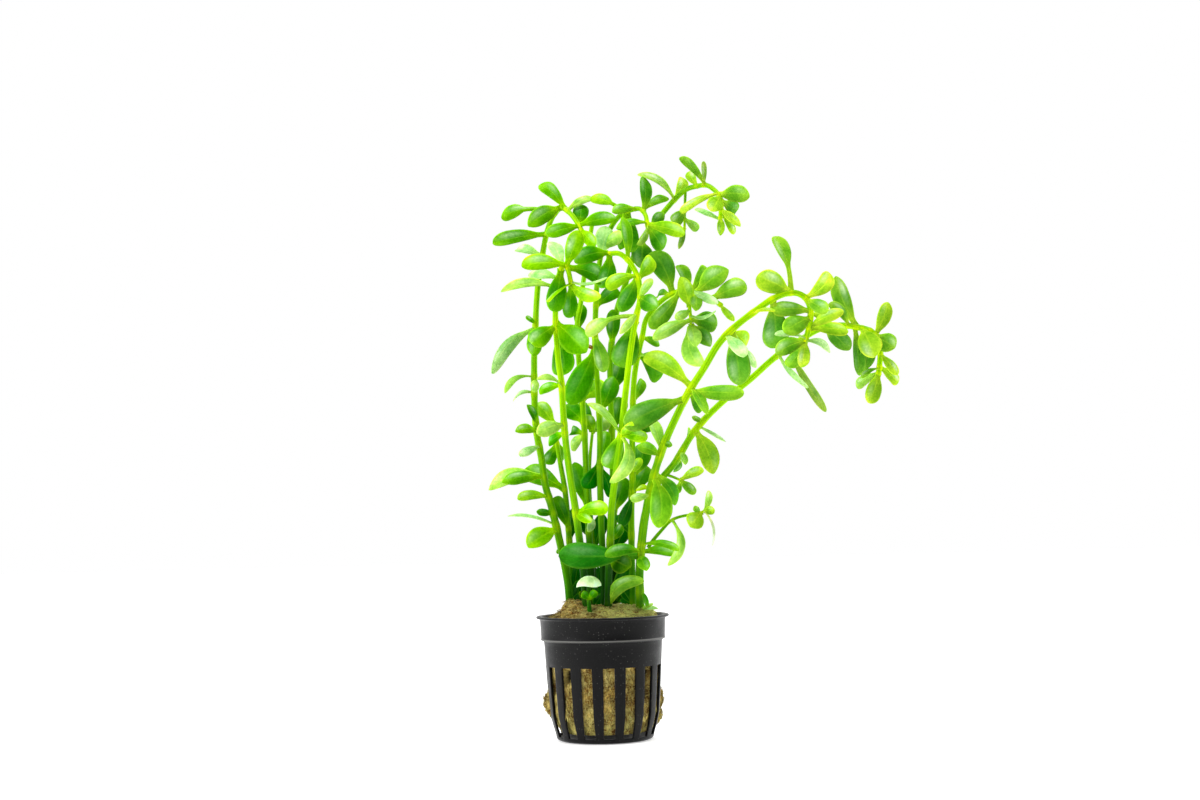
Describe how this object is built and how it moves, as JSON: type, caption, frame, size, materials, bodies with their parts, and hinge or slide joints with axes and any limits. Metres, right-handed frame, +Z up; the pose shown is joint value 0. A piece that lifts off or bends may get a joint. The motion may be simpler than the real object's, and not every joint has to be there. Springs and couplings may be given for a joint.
{
  "type": "potted aquarium plant",
  "caption": "Leafy aquarium stems planted in rock wool in a round slotted net pot, with shoots that arch over to one side.",
  "frame": {"origin": "middle of the pot's flat base", "axes": "+Z up along the pot's axis, +X to the side that the long shoots arch to, -Y the front"},
  "size_m": [0.166, 0.0568, 0.2302],
  "materials": {
    "pot_plastic": "matt black moulded plastic with fine pale specks",
    "wool": "rough ochre mineral fibre, stained brown and green",
    "plant": "soft, slightly glossy green leaf and stem, lime at the young tips",
    "pale_leaf": "pale mint underside of a folded leaf"
  },
  "bodies": {
    "root": {"net_pot": "pot_plastic", "rock_wool": "wool", "left_tall_shoot": "plant", "left_back_shoot": "plant", "front_left_shoot": "plant", "middle_shoot": "plant", "thin_middle_shoot": "plant", "centre_shoot": "plant", "front_centre_shoot": "plant", "right_middle_shoot": "plant", "hanging_side_shoot": "plant", "back_shoot": "plant", "right_upper_shoot": "plant", "low_side_shoot": "plant", "right_lower_shoot": "plant", "curled_leaf": "pale_leaf"}
  },
  "joints": []
}
